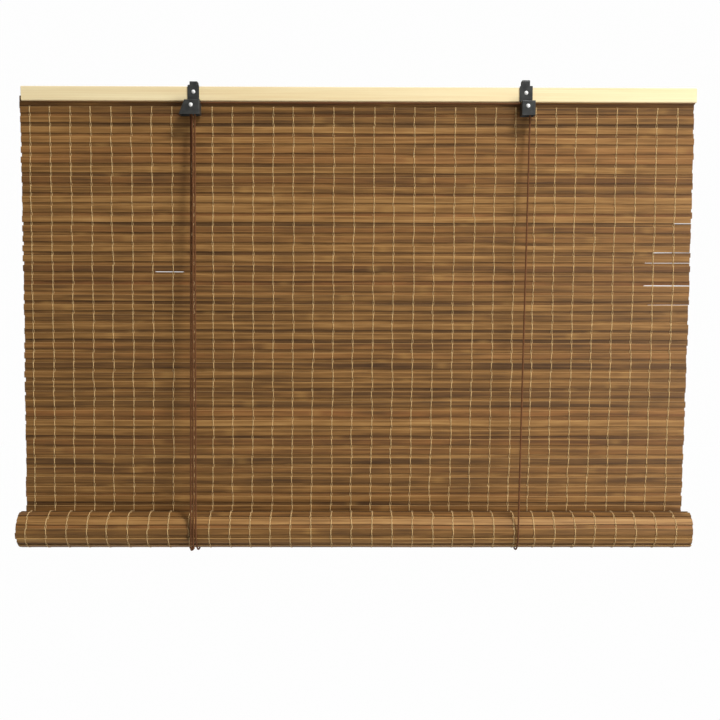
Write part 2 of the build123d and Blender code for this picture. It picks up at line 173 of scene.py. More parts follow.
def scaled(tree, vector, *factors):
    """A vector with each coordinate times its own factor."""
    return place(tree, "ShaderNodeVectorMath", {0: vector, 1: factors},
                 operation="MULTIPLY").outputs[0]


def remap(tree, value, low, high, new_low, new_high, smooth=False):
    """A value carried from one range to another, held at the ends."""
    return place(tree, "ShaderNodeMapRange", {0: value, 1: low, 2: high, 3: new_low, 4: new_high},
                 interpolation_type="SMOOTHSTEP" if smooth else "LINEAR").outputs[0]


def mixed(tree, share, first, second):
    """Two colours mixed by a share."""
    return place(tree, "ShaderNodeMix", {0: share, 6: first, 7: second},
                 data_type="RGBA").outputs[2]


def ramp(tree, value, stops):
    """A colour ramp through (place, colour) stops."""
    made = place(tree, "ShaderNodeValToRGB", {0: value})
    elements = made.color_ramp.elements
    while len(elements) < len(stops):
        elements.new(0.5)
    for element, (position, colour) in zip(elements, stops):
        element.position = position
        element.color = colour
    return made.outputs[0]


def new_group(name, inputs, outputs):
    """An empty shader node group: its tree, its input sockets and its output node."""
    tree = bpy.data.node_groups.new(name, "ShaderNodeTree")
    for label, kind in inputs.items():
        tree.interface.new_socket(label, in_out="INPUT", socket_type=kind)
    for label, kind in outputs.items():
        tree.interface.new_socket(label, in_out="OUTPUT", socket_type=kind)
    return tree, tree.nodes.new("NodeGroupInput").outputs, tree.nodes.new("NodeGroupOutput")


def use_group(tree, group, inputs):
    """A group placed in a material, with its values."""
    return place(tree, "ShaderNodeGroup", inputs, node_tree=group).outputs


def new_material(name):
    """A material with its Principled BSDF: the material, its tree and the shader's inputs."""
    material = bpy.data.materials.new(name)
    material.use_nodes = True
    return material, material.node_tree, material.node_tree.nodes["Principled BSDF"].inputs


def give_bump(tree, shader, height, strength, distance):
    """Feed a height to the shader's normal."""
    bump = place(tree, "ShaderNodeBump", {"Height": height, "Strength": strength,
                                          "Distance": distance})
    tree.links.new(bump.outputs[0], shader["Normal"])


# Effects that several materials share

def make_grain_group():
    """Wood or bamboo fibre: noise that is stretched along the first coordinate. Fine is
    the single fibres, Broad the bands of darker and paler growth."""
    tree, given, result = new_group(
        "Fibre grain", {"Vector": "NodeSocketVector", "Along": "NodeSocketFloat",
                        "Across": "NodeSocketFloat"},
        {"Fine": "NodeSocketFloat", "Broad": "NodeSocketFloat"})
    stretch = place(tree, "ShaderNodeCombineXYZ", {0: given["Along"], 1: given["Across"],
                                                   2: given["Across"]}).outputs[0]
    fibres = place(tree, "ShaderNodeVectorMath", {0: given["Vector"], 1: stretch},
                   operation="MULTIPLY").outputs[0]
    fine = place(tree, "ShaderNodeTexNoise", {"Vector": fibres, "Scale": 1, "Detail": 4,
                                              "Roughness": 0.65})
    bands = scaled(tree, fibres, 0.45, 0.16, 0.16)
    broad = place(tree, "ShaderNodeTexNoise", {"Vector": bands, "Scale": 1, "Detail": 2,
                                               "Roughness": 0.5})
    tree.links.new(fine.outputs[0], result.inputs["Fine"])
    tree.links.new(broad.outputs[0], result.inputs["Broad"])
    return tree


def make_twist_group():
    """Twisted or braided yarn: a sine of the distance along it and the way round it. Ridge
    is high on the yarns and low between them."""
    tree, given, result = new_group(
        "Yarn twist", {"Vector": "NodeSocketVector", "Turns": "NodeSocketFloat",
                       "Yarns": "NodeSocketFloat"},
        {"Ridge": "NodeSocketFloat", "Tint": "NodeSocketFloat"})
    parts = place(tree, "ShaderNodeSeparateXYZ", {0: given["Vector"]}).outputs
    along = calculate(tree, "MULTIPLY", parts[0], given["Turns"])
    around = calculate(tree, "MULTIPLY", parts[1], given["Yarns"])
    angle = calculate(tree, "MULTIPLY", calculate(tree, "ADD", along, around), 2 * pi)
    ridge = calculate(tree, "ABSOLUTE", calculate(tree, "SINE", angle))
    slub = place(tree, "ShaderNodeTexNoise", {"Vector": scaled(tree, given["Vector"], 60, 2, 2),
                                              "Scale": 1, "Detail": 3})
    tree.links.new(ridge, result.inputs["Ridge"])
    tree.links.new(slub.outputs[0], result.inputs["Tint"])
    return tree


def make_enamel_group():
    """Sprayed enamel or plated metal: a fine ripple, and larger patches where it is duller."""
    tree, given, result = new_group(
        "Satin skin", {"Vector": "NodeSocketVector"},
        {"Ripple": "NodeSocketFloat", "Patch": "NodeSocketFloat"})
    ripple = place(tree, "ShaderNodeTexNoise", {"Vector": given["Vector"], "Scale": 1400,
                                                "Detail": 2})
    patch = place(tree, "ShaderNodeTexNoise", {"Vector": given["Vector"], "Scale": 160,
                                               "Detail": 3})
    tree.links.new(ripple.outputs[0], result.inputs["Ripple"])
    tree.links.new(patch.outputs[0], result.inputs["Patch"])
    return tree


grain_group = make_grain_group()
twist_group = make_twist_group()
skin_group = make_enamel_group()


# Materials

def make_bamboo():
    """Carbonised bamboo, different on each slat: its tone, redness and the place of its
    joints come from the slat's own attribute, whose alpha is the place between its split
    edges, and its fibres from the UV map, which holds metres along the slat and across.
    The upper edge has a painted highlight from the light above, and the lower one painted shade."""
    material, tree, shader = new_material("Carbonised bamboo")
    slat = place(tree, "ShaderNodeAttribute", attribute_name="slat").outputs
    own = place(tree, "ShaderNodeSeparateColor", {0: slat["Color"]}).outputs
    surface = place(tree, "ShaderNodeTexCoord").outputs["UV"]
    fibre = use_group(tree, grain_group, {"Vector": surface, "Along": 13, "Across": 1500})
    cloud = place(tree, "ShaderNodeTexNoise", {"Vector": scaled(tree, surface, 16, 90, 1),
                                               "Scale": 1, "Detail": 3}).outputs[0]
    tone = calculate(tree, "ADD", swing(tree, fibre["Fine"], 0.62),
                     swing(tree, fibre["Broad"], 0.8))
    tone = calculate(tree, "ADD", tone, swing(tree, cloud, 0.5))
    tone = calculate(tree, "ADD", tone, own[0])
    colour = ramp(tree, tone, [(0.0, linear(60, 38, 17)), (0.3, linear(96, 66, 33)),
                               (0.55, linear(133, 94, 48)), (0.8, linear(168, 125, 71)),
                               (1.0, linear(200, 160, 102))])
    redness = calculate(tree, "MULTIPLY", own[1], remap(tree, cloud, 0.3, 0.7, 0.05, 0.45))
    colour = mixed(tree, redness, colour, linear(146, 88, 46))
    joints_a_metre = 1.6
    length = place(tree, "ShaderNodeSeparateXYZ", {0: surface}).outputs[0]
    joint = calculate(tree, "FRACT", calculate(tree, "MULTIPLY_ADD", length, joints_a_metre,
                                               own[2]))
    gap = calculate(tree, "ABSOLUTE", calculate(tree, "ADD", joint, -0.5))
    speckle = remap(tree, fibre["Fine"], 0.4, 0.7, 0.1, 0.5)
    pale = calculate(tree, "MULTIPLY", remap(tree, gap, 0.0, 0.022, 1, 0, smooth=True), speckle)
    colour = mixed(tree, pale, colour, linear(184, 140, 78))
    # Painted highlight: the upper edge is paled, as light from above falls on it
    painted_highlight_edge = remap(tree, slat["Alpha"], 0.0, 0.09, 0.5, 0)
    colour = mixed(tree, painted_highlight_edge, colour, linear(206, 164, 104))
    # Painted shade: the lower edge is darkened, as it lies in shadow under the slat
    painted_shade_edge = remap(tree, slat["Alpha"], 0.93, 1.0, 0, 0.8)
    colour = mixed(tree, painted_shade_edge, colour, linear(44, 27, 14))
    tree.links.new(colour, shader["Base Color"])
    tree.links.new(remap(tree, fibre["Fine"], 0.2, 0.8, 0.45, 0.65), shader["Roughness"])
    shader["Specular IOR Level"].default_value = 0.25
    give_bump(tree, shader, fibre["Fine"], 0.4, 0.0003)
    return material


def make_pine(name, dark, pale):
    """Planed, unvarnished wood with straight, close grain along X."""
    material, tree, shader = new_material(name)
    place_in_wood = place(tree, "ShaderNodeTexCoord").outputs["Object"]
    fibre = use_group(tree, grain_group, {"Vector": place_in_wood, "Along": 7, "Across": 900})
    tone = weighed(tree, fibre["Fine"], 0.5, fibre["Broad"])
    colour = ramp(tree, tone, [(0.3, dark), (0.62, pale)])
    tree.links.new(colour, shader["Base Color"])
    tree.links.new(remap(tree, fibre["Fine"], 0.2, 0.8, 0.5, 0.68), shader["Roughness"])
    give_bump(tree, shader, fibre["Fine"], 0.2, 0.0002)
    return material


def make_yarn(name, dark, pale, turns, yarns, relief, fuzz, coordinates="UV"):
    """Twisted yarn or braided cord, with painted shade in the grooves between its yarns."""
    material, tree, shader = new_material(name)
    surface = place(tree, "ShaderNodeTexCoord").outputs[coordinates]
    twist = use_group(tree, twist_group, {"Vector": surface, "Turns": turns, "Yarns": yarns})
    # Where the ridge is low the colour darkens: painted shade in the grooves between the yarns. The
    # slub tint is the yarn's own
    tone = weighed(tree, twist["Ridge"], 0.55, twist["Tint"])
    tree.links.new(ramp(tree, tone, [(0.15, dark), (0.8, pale)]), shader["Base Color"])
    tree.links.new(remap(tree, twist["Ridge"], 0, 1, 0.9, 0.72), shader["Roughness"])
    shader["Sheen Weight"].default_value = fuzz
    shader["Specular IOR Level"].default_value = 0.2
    give_bump(tree, shader, twist["Ridge"], 0.6, relief)
    return material


def make_skin(name, colour, patch_colour, metallic, low, high):
    """Enamelled, plated or moulded surface, its gloss uneven between two roughnesses."""
    material, tree, shader = new_material(name)
    surface = place(tree, "ShaderNodeTexCoord").outputs["Object"]
    skin = use_group(tree, skin_group, {"Vector": surface})
    tree.links.new(mixed(tree, remap(tree, skin["Patch"], 0.35, 0.7, 0, 1), colour,
                         patch_colour), shader["Base Color"])
    tree.links.new(remap(tree, skin["Patch"], 0.3, 0.7, low, high), shader["Roughness"])
    shader["Metallic"].default_value = metallic
    give_bump(tree, shader, skin["Ripple"], 0.15, 0.0001)
    return material


bamboo = make_bamboo()
pine = make_pine("Planed pine", linear(241, 214, 160), linear(253, 235, 188))
batten_wood = make_pine("Turned batten wood", linear(186, 148, 96), linear(222, 188, 134))
thread = make_yarn("Cotton warp thread", linear(170, 134, 82), linear(240, 206, 148), 900, 2,
                   0.00008, 0.15)
cord_dark = linear(58, 33, 18)
cord_pale = linear(120, 75, 42)
cord = make_yarn("Braided cord", cord_dark, cord_pale, 420, 4, 0.0002, 0.03)
wound_cord = make_yarn("Braided cord over pulleys", cord_dark, cord_pale, 420, 420, 0.0002, 0.03,
                       "Object")
black_enamel = make_skin("Satin black enamel", linear(44, 45, 44), linear(58, 59, 57), 0,
                         0.32, 0.5)
white_enamel = make_skin("White enamel", linear(236, 236, 232), linear(246, 246, 243), 0,
                         0.25, 0.4)
plated = make_skin("Zinc plate", linear(170, 172, 174), linear(196, 198, 200), 1, 0.28, 0.45)
nylon = make_skin("Natural nylon", linear(214, 210, 198), linear(226, 222, 212), 0, 0.35, 0.5)


# Mesh helpers

def add_piece(name, vertices, faces, corner_uv, material, crease, slat_colour=None):
    """A mesh from whole arrays, smooth but for its creases, with its UV map and, on slats,
    the attribute that tells them apart."""
    mesh = bpy.data.meshes.new(name)
    mesh.from_pydata(vertices.tolist(), [], faces)
    mesh.materials.append(material)
    mesh.polygons.foreach_set("use_smooth", np.ones(len(mesh.polygons), bool))
    mesh.set_sharp_from_angle(angle=radians(crease))
    mesh.uv_layers.new(name="UVMap").data.foreach_set("uv", corner_uv.astype(np.float32).ravel())
    if slat_colour is not None:
        attribute = mesh.attributes.new("slat", "FLOAT_COLOR", "POINT")
        attribute.data.foreach_set("color", slat_colour.astype(np.float32).ravel())
    piece = bpy.data.objects.new(name, mesh)
    bpy.context.scene.collection.objects.link(piece)
    return piece


def closed_tubes(rings, along, around):
    """Faces and UVs of closed tubes. rings has the shape (tubes, stations, ring points, 3).
    A quad joins two neighbours of a ring with the same two of the next ring, and a face with
    as many corners as the ring closes each end. U is the distance along and V the distance
    around, given for each tube."""
    tubes, stations, sides = rings.shape[:3]
    index = np.arange(tubes * stations * sides).reshape(tubes, stations, sides)
    here, ahead = index[:, :-1], index[:, 1:]
    quads = np.stack([here, np.roll(here, -1, 2), np.roll(ahead, -1, 2), ahead], -1)
    caps = np.concatenate([index[:, 0, ::-1], index[:, -1]])
    shape = (tubes, stations - 1, sides)
    u_here = np.broadcast_to(along[:, :-1, None], shape)
    u_ahead = np.broadcast_to(along[:, 1:, None], shape)
    v_here = np.broadcast_to(around[:, None, :-1], shape)
    v_next = np.broadcast_to(around[:, None, 1:], shape)
    quad_uv = np.stack([np.stack([u_here, v_here], -1), np.stack([u_here, v_next], -1),
                        np.stack([u_ahead, v_next], -1), np.stack([u_ahead, v_here], -1)], -2)
    cap_u = np.concatenate([along[:, 0], along[:, -1]])[:, None].repeat(sides, 1)
    cap_v = np.concatenate([around[:, :-1][:, ::-1], around[:, :-1]])
    corner_uv = np.concatenate([quad_uv.reshape(-1, 2), np.stack([cap_u, cap_v], -1).reshape(-1, 2)])
    faces = quads.reshape(-1, 4).tolist() + caps.tolist()
    return rings.reshape(-1, 3), faces, corner_uv


# Slats

# A slat's section from its upper edge to its lower one and back: distance down from its
# middle and height of the face, both as shares of half its width and of its thickness
slat_section = np.array([(-1, 0.1), (-0.97, 0), (0.97, 0), (1, 0.1), (1, 0.62), (0.94, 0.86),
                         (0.55, 0.96), (0, 1.0), (-0.55, 0.96), (-0.94, 0.86), (-1, 0.62)])
slat_stations = 46
# How uneven the slats are. Their ends step in and out from slat to slat, by no more than
# end_reach in all, and each end also stands out or in by itself. Their drift, tilt and swell
# are slow waves, given by their size and the longest, and spread is the usual step besides
end_step = 0.125 * mm
end_reach = 1 * mm
end_out = 0.6 * mm
end_in = 1.2 * mm
drift_size = 0.28 * mm
drift_wave = 0.5
drift_spread = 0.2 * mm
tilt_size = 0.012
tilt_wave = 0.7
tilt_spread = 0.02
swell_size = 0.012
swell_wave = 0.3
tone_spread = 0.085
slit_taper = 6 * mm
# Slits that light shows through: left end, right end, the row whose rear slat gives way,
# and how far that slat's upper edge is lowered and its lower edge raised
wide = overlap + 1.0 * mm
narrow = overlap + 0.3 * mm
slits = [(-276.7 * mm, -234.5 * mm, 17, wide, 0), (424 * mm, mat_right, 12, overlap, 0),
         (396 * mm, mat_right, 15, narrow, 0), (387 * mm, mat_right, 16, wide, 0),
         (386 * mm, mat_right, 18, 0, overlap), (392 * mm, mat_right, 20, 0, overlap)]
slit_ends = np.unique([end + step for slit in slits for end in slit[:2]
                       for step in (-slit_taper / 2, slit_taper / 2)])
slat_x = np.sort(np.concatenate([np.linspace(mat_left, mat_right, slat_stations),
                                 slit_ends[slit_ends < mat_right - slit_taper]]))


def wander(count, x, size, longest):
    """A slow drift along each slat: three sines of x, of random phase, the longest first,
    each half as long and half as large as the one before. By chance a wave is up to a fifth
    shorter or a quarter longer than that."""
    phase = rng.uniform(0, 2 * pi, (count, 3, 1))
    wave = longest * 0.5 ** np.arange(3)[None, :, None] * rng.uniform(0.8, 1.25, (count, 3, 1))
    share = 0.5 ** np.arange(3)[None, :, None]
    return size * (share * np.sin(2 * pi * x[:, None, :] / wave + phase)).sum(1)


def slat_tints(count, stations):
    """Each slat's tone, redness and joint place, the same at all its points, and in alpha
    the place across its face, from 0 at its upper edge over a half to 1 at its lower one.
    Tones gather round a half, and the redness is an even draw cubed, so few slats are red."""
    tone = np.clip(rng.normal(0.5, tone_spread, count), 0.15, 0.85)
    own = np.stack([tone, rng.uniform(0, 1, count) ** 3, rng.uniform(0, 1, count)], -1)
    across = 0.5 + 0.5 * slat_section[:, 0] * (slat_section[:, 1] > 0)
    shape = (count, stations, len(across))
    return np.concatenate([np.broadcast_to(own[:, None, None], (*shape, 3)),
                           np.broadcast_to(across[:, None], (*shape, 1))], -1)


def add_slats(name, centres, outwards, sway, cuts):
    """Split bamboo slats, each its section carried along X from one ragged end to the other.
    A slat's middle is at its centre in Y and Z, and its face looks outwards. A point of it
    lies its distance down times the swell, plus the drift, along the tangent, and its height
    plus its distance down times the tilt outwards. sway is how far each slat has moved along
    X. cuts holds, for each slat and station, how far the edge where the section ends is drawn
    in and the edge where it begins is."""
    count = len(centres)
    tangents = np.stack([-outwards[:, 1], outwards[:, 0]], -1)
    x = np.repeat(slat_x[None], count, 0)
    steps = np.cumsum(rng.normal(0, end_step, (count, 2)), 0)
    steps = np.clip(steps, -end_reach, end_reach)
    x[:, 0] += rng.uniform(-end_out, end_in, count) + steps[:, 0]
    x[:, -1] += rng.uniform(-end_in, end_out, count) + steps[:, 1]
    drift = wander(count, x, drift_size, drift_wave) + rng.normal(0, drift_spread, (count, 1))
    tilt = wander(count, x, tilt_size, tilt_wave) + rng.normal(0, tilt_spread, (count, 1))
    swell = 1 + wander(count, x, swell_size, swell_wave)
    down = slat_section[:, 0] * slat_width / 2
    height = slat_section[:, 1] * slat_thickness
    across = down * swell[..., None] + drift[..., None]
    across = across - cuts[..., :1] * (down > 0) + cuts[..., 1:] * (down < 0)
    lift = height + down * tilt[..., None]
    yz = (centres[:, None, None] + across[..., None] * tangents[:, None, None]
          + lift[..., None] * outwards[:, None, None])
    moved = (x + sway[:, None])[..., None, None]
    rings = np.concatenate([np.broadcast_to(moved, (*across.shape, 1)), yz], -1)
    around = np.concatenate([[0], np.cumsum(np.hypot(*np.diff(
        np.stack([down, height]), append=[[down[0]], [height[0]]])))])
    start = rng.uniform(0, 40, (count, 1))
    around = around + rng.uniform(0, 4, (count, 1))
    vertices, faces, corner_uv = closed_tubes(rings, x + start, around)
    return add_piece(name, vertices, faces, corner_uv, bamboo, 38,
                     slat_tints(count, rings.shape[1]))


def hanging_sway(z):
    """How far the hanging mat has moved along X at a height: the foot's sway times the
    square of the share of the way down."""
    return foot_sway * ((mat_top - z) / (mat_top - roll_z)) ** 2


def hanging_slats(first, last):
    """Centres and outward directions of the slats that hang, from one row to another.
    Each row is a proud slat in front of the mat's middle and one behind it, which bridges
    the gap to the next row."""
    rows = np.arange(first, last)
    top = mat_top - rows * slat_pitch
    proud = np.stack([np.full(len(rows), mat_y), top - slat_width / 2], -1)
    behind = np.stack([np.full(len(rows), mat_y), top - slat_width + overlap - slat_width / 2], -1)
    centres = np.concatenate([proud, behind])
    outwards = np.repeat([[-1.0, 0.0], [1.0, 0.0]], len(rows), 0)
    return centres, outwards, rows


def slit_cuts(rows):
    """How far the edges of each slat are drawn in along X: by what a slit says between its
    ends, with a short taper, and by nothing elsewhere. The proud slats come first."""
    cuts = np.zeros((2 * len(rows), len(slat_x), 2))
    for left, right, row, upper, lower in slits:
        if row in rows:
            inside = (slat_x > left) & (slat_x <= right)
            cuts[len(rows) + row - rows[0], inside] = upper, lower
    return cuts


def add_hanging_slats(name, first, last):
    """The slats that hang, front and rear. A rear slat's section begins at its lower edge
    and ends at its upper one."""
    centres, outwards, rows = hanging_slats(first, last)
    return add_slats(name, centres, outwards, hanging_sway(centres[:, 1]), slit_cuts(rows))


def roll_place(along, out):
    """A place on the roll, a distance along the mat and a height outside its middle: a
    spiral whose radius falls by one turn's spacing each turn. It begins at the back of the
    roll and passes under it and up its front. Returns it with its outward direction."""
    shrink = turn_spacing / (2 * pi)
    turn = (roll_line_radius - np.sqrt(roll_line_radius**2 - 2 * shrink * along)) / shrink
    radius = roll_line_radius - shrink * turn + out
    outward = np.stack([np.cos(turn), -np.sin(turn)], -1)
    return np.array([roll_y, roll_z]) + radius[..., None] * outward, outward


def add_rolled_slats(name):
    """The rolled slats, each flat and set at a tangent to the spiral, its face outwards."""
    rows = np.arange(rolled_slat_count)
    inner = rows * slat_pitch + slat_width / 2
    outer = rows[:-1] * slat_pitch + slat_width - overlap + slat_width / 2
    along = np.concatenate([inner, outer])
    out = np.concatenate([np.full(len(inner), -slat_thickness - slat_inset),
                          np.full(len(outer), -slat_inset)])
    centres, outwards = roll_place(along, out)
    sway = np.full(len(along), roll_sway)
    return add_slats(name, centres, outwards, sway, np.zeros((len(along), len(slat_x), 2)))


mat_upper = add_hanging_slats("mat_upper_rows", 0, upper_slat_count)
mat_lower = add_hanging_slats("mat_lower_rows", upper_slat_count, hanging_slat_count)
rolled_slats = add_rolled_slats("rolled_slats")


# Warp threads

# One row of a strand: share of the row, 1 on the proud slat or 0 between two of them, and
# half the distance between a thread's two strands
thread_row = np.array([(0.015, 1, 0.45 * mm), (0.16, 1, 0.29 * mm), (0.32, 1, 0.27 * mm),
                       (0.48, 1, 0.29 * mm), (0.625, 1, 0.45 * mm), (0.70, 0, 0.8 * mm),
                       (0.82, 0, 0.9 * mm), (0.94, 0, 0.8 * mm)])
strand_angles = np.arange(4) * pi / 2


def add_threads(name, along, line, outward, spread, sway):
    """The two strands of each warp thread. line is their path in Y and Z, outward its
    direction off the slats, spread half their distance and sway how far they have moved
    along X, all at the same stations. The strands part between the proud slats and meet
    over them, with a slight waver and a small step from row to row."""
    columns, stations = len(thread_x), len(line)
    waver = rng.normal(0, station_spread, (columns, 1, stations)) + wander(
        columns, np.broadcast_to(along, (columns, stations)), waver_size, waver_wave)[:, None]
    row = ((along - along[0]) / slat_pitch).astype(int)
    step_aside = rng.normal(0, row_spread, (columns, row[-1] + 1))[:, row][:, None]
    side = np.array([-1.0, 1.0])[None, :, None]
    x = thread_x[:, None, None] + waver + step_aside + sway + side * spread
    x = x.reshape(-1, stations)
    around_x = strand_radius * np.cos(strand_angles)
    around_out = strand_radius * np.sin(strand_angles)
    ring_x = x[..., None] + around_x
    ring_yz = line[:, None] + around_out[:, None] * outward[:, None]
    ring_yz = np.broadcast_to(ring_yz, (*ring_x.shape, 2))
    rings = np.concatenate([ring_x[..., None], ring_yz], -1)
    step = np.gradient(line, axis=0)
    if step[1, 0] * outward[1, 1] - step[1, 1] * outward[1, 0] > 0:
        rings = rings[:, :, ::-1]
    length = np.repeat(along[None], len(x), 0) + rng.uniform(0, 1, (len(x), 1))
    around = np.linspace(0, 1, 5)[None].repeat(len(x), 0)
    vertices, faces, corner_uv = closed_tubes(rings, length, around)
    return add_piece(name, vertices, faces, corner_uv, thread, 80)


def thread_stations(rows):
    """The stations of a strand over some rows: distance down, proud or not, and spread."""
    down = (rows[:, None] + thread_row[:, 0]).ravel() * slat_pitch
    return down, np.tile(thread_row[:, 1], len(rows)), np.tile(thread_row[:, 2], len(rows))


def add_hanging_threads(name, first, last, side):
    """The threads on one face of the hanging mat, side -1 in front and 1 behind. The rear
    face is proud where the front one is not, so its rows are half a pitch lower."""
    rows = np.arange(first, last)
    down, proud, spread = thread_stations(rows)
    down = down + (slat_width - overlap if side > 0 else 0)
    z = mat_top - down
    shown = (z < thread_top) & (z > roll_z)
    z, proud, spread = z[shown], proud[shown], spread[shown]
    height = np.where(proud > 0, slat_thickness, low_height) + strand_radius
    line = np.stack([mat_y + side * height, z], -1)
    outward = np.repeat([[float(side), 0.0]], len(z), 0)
    return add_threads(name, -z, line, outward, spread, hanging_sway(z))


def add_rolled_threads(name):
    """The threads over the roll's outer turn, proud on the slats that face outwards."""
    rows = np.arange(-1, 12)
    along, proud, spread = thread_stations(rows)
    along = along + slat_width - overlap
    turn_length = 2 * pi * roll_line_radius
    shown = (along > 0) & (along < turn_length)
    along, proud, spread = along[shown], proud[shown], spread[shown]
    height = np.where(proud > 0, slat_thickness, low_height_on_roll) + strand_radius
    line, outward = roll_place(along, height)
    return add_threads(name, along, line, outward, spread, roll_sway)


front_threads_upper = add_hanging_threads("front_threads_upper", 0, upper_slat_count, -1)
front_threads = add_hanging_threads("front_threads_lower", upper_slat_count,
                                    hanging_slat_count, -1)
back_threads_upper = add_hanging_threads("back_threads_upper", 0, upper_slat_count, 1)
back_threads = add_hanging_threads("back_threads_lower", upper_slat_count,
                                   hanging_slat_count, 1)
rolled_threads = add_rolled_threads("rolled_threads")


# Cords

def front_touch(start_y):
    """Where a cord from the foot of a housing meets the front of the roll, in Y and Z, and
    the direction in which it runs there."""
    to_y = start_y - roll_y
    to_z = housing_bottom - roll_z
    angle = atan2(to_z, to_y) + acos(loop_radius / hypot(to_y, to_z))
    touch = (roll_y + loop_radius * cos(angle), roll_z + loop_radius * sin(angle))
    return touch, (-sin(angle), cos(angle))


def hanging_route(start_x, start_y, lean_degrees, foot_x):
    """The route of a cord from a housing to the front of the roll: out in line with the
    cord inside the housing, and down into line with the roll's face."""
    lean = radians(lean_degrees)
    touch, run = front_touch(start_y)
    return [(start_x, start_y, housing_bottom),
            (start_x + lead_in * sin(lean), start_y, housing_bottom - lead_in * cos(lean)),
            (foot_x, touch[0] - lead_out * run[0], touch[1] - lead_out * run[1]),
            (foot_x, *touch)]


def back_route(loop_x):
    """The route of a lift cord up behind the mat and into the headrail."""
    back_y = roll_y + loop_radius
    return [(loop_x, back_y, roll_z), (loop_x, back_y, rail_bottom - back_cord_bend),
            (loop_x, back_cord_y, rail_bottom),
            (loop_x, back_cord_y, rail_bottom + back_cord_depth)]


def spline_path(route):
    """The points of a NURBS spline of order 3 that has the route's points as its control
    points, as Blender gives them for a curve with no bevel."""
    curve = bpy.data.curves.new("route", "CURVE")
    curve.dimensions = "3D"
    curve.resolution_u = 24
    spline = curve.splines.new("NURBS")
    spline.points.add(len(route) - 1)
    spline.points.foreach_set("co", np.column_stack([route, np.ones(len(route))]).ravel())
    spline.order_u = 3
    spline.use_endpoint_u = True
    holder = bpy.data.objects.new("route", curve)
    line = bpy.data.meshes.new_from_object(holder)
    points = np.zeros(3 * len(line.vertices))
    line.vertices.foreach_get("co", points)
    bpy.data.meshes.remove(line)
    bpy.data.objects.remove(holder)
    bpy.data.curves.remove(curve)
    return points.reshape(-1, 3)


def add_tube(name, path, reference=(1.0, 0.0, 0.0)):
    """A round cord along a path: at each point a circle square to the path, its first
    spoke the part of the reference direction that is square to it too."""
    tangent = np.gradient(path, axis=0)
    tangent /= np.linalg.norm(tangent, axis=1, keepdims=True)
    first = np.array(reference) - (tangent @ np.array(reference))[:, None] * tangent
    first /= np.linalg.norm(first, axis=1, keepdims=True)
    second = np.cross(tangent, first)
    angle = np.linspace(0, 2 * pi, cord_sides, endpoint=False)
    spoke = np.cos(angle)[:, None] * first[:, None] + np.sin(angle)[:, None] * second[:, None]
    rings = path[:, None] + cord_radius * spoke
    length = np.concatenate([[0], np.cumsum(np.linalg.norm(np.diff(path, axis=0), axis=1))])
    around = np.linspace(0, 1, cord_sides + 1)[None]
    vertices, faces, corner_uv = closed_tubes(rings[None], length[None], around)
    return add_piece(name, vertices, faces, corner_uv, cord, 60)


def add_cord(name, route):
    """A cord piece along its route, with its path and its length."""
    path = spline_path(route)
    length = np.linalg.norm(np.diff(path, axis=0), axis=1).sum()
    return add_tube(name, path), path, length


left_front, _, _ = add_cord("left_lift_cord", hanging_route(
    left_side_x, front_groove_y, 0, left_loop_x))
right_front, _, _ = add_cord("right_lift_cord", hanging_route(
    right_side_x, rear_groove_y, 0, right_loop_x))
outer_strand, outer_path, outer_length = add_cord("outer_pull_cord", hanging_route(
    outer_exit_x, rear_groove_y, outer_lean, outer_strand_x))
inner_strand, inner_path, inner_length = add_cord("inner_pull_cord", hanging_route(
    inner_exit_x, front_groove_y, inner_lean, inner_strand_x))
left_back, _, _ = add_cord("left_lift_cord_behind", back_route(left_loop_x))
right_back, _, _ = add_cord("right_lift_cord_behind", back_route(right_loop_x))

knot_top = front_touch(rear_groove_y)[0][1] - tail_length


def tail_route(strand_x, start_y):
    """The route of a pull cord's free end, from the roll's front down to the knot."""
    touch, run = front_touch(start_y)
    bend = (touch[0] + tail_start * run[0], touch[1] + tail_start * run[1])
    return [(strand_x, *touch), (strand_x, *bend), (strand_x, bend[0], knot_top)]


outer_tail, _, _ = add_cord("outer_pull_tail_cord", tail_route(outer_strand_x, rear_groove_y))
inner_tail, _, _ = add_cord("inner_pull_tail_cord", tail_route(inner_strand_x, front_groove_y))

knot_low, knot_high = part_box("end_knot")
knot_middle = np.array((knot_low + knot_high) / 2)
knot_half = np.array((knot_high - knot_low) / 2) - cord_radius


def add_knot(name):
    """The overhand knot that joins the pull cords: a trefoil, whose point at angle t is
    sin t + 2 sin 2t along X, -1.6 sin 3t along Y and cos t - 2 cos 2t along Z, all as thirds
    of half the knot's size."""
    t = np.linspace(0, 2 * pi, 97)
    shape = np.stack([np.sin(t) + 2 * np.sin(2 * t), -np.sin(3 * t) * 1.6,
                      np.cos(t) - 2 * np.cos(2 * t)], -1) / 3
    return add_tube(name, knot_middle + shape * knot_half, reference=(0.1, 1.0, 0.2))


knot = add_knot("pull_cord_knot")


# Bodies, replaced nodes and materials

def settle(piece, body, replaced=()):
    """Ride a piece on its body, if it is given one, and hide the imported nodes that it replaces."""
    if body:
        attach(piece, body)
    if replaced:
        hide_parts(*replaced)


def gather_up(piece):
    """Give a hanging piece a mesh of its own."""
    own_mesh(piece)


settle(mat_upper, "root", ["woven_mat"])
settle(mat_lower, "root", ["woven_mat"])
settle(rolled_slats, "roll", ["rolled_mat"])
settle(front_threads_upper, "root", ["warp_threads"])
settle(front_threads, "root", ["warp_threads"])
settle(back_threads_upper, "root", ["warp_threads"])
settle(back_threads, "root", ["warp_threads"])
settle(rolled_threads, "roll")
for piece in (mat_lower, front_threads, back_threads):
    gather_up(piece)

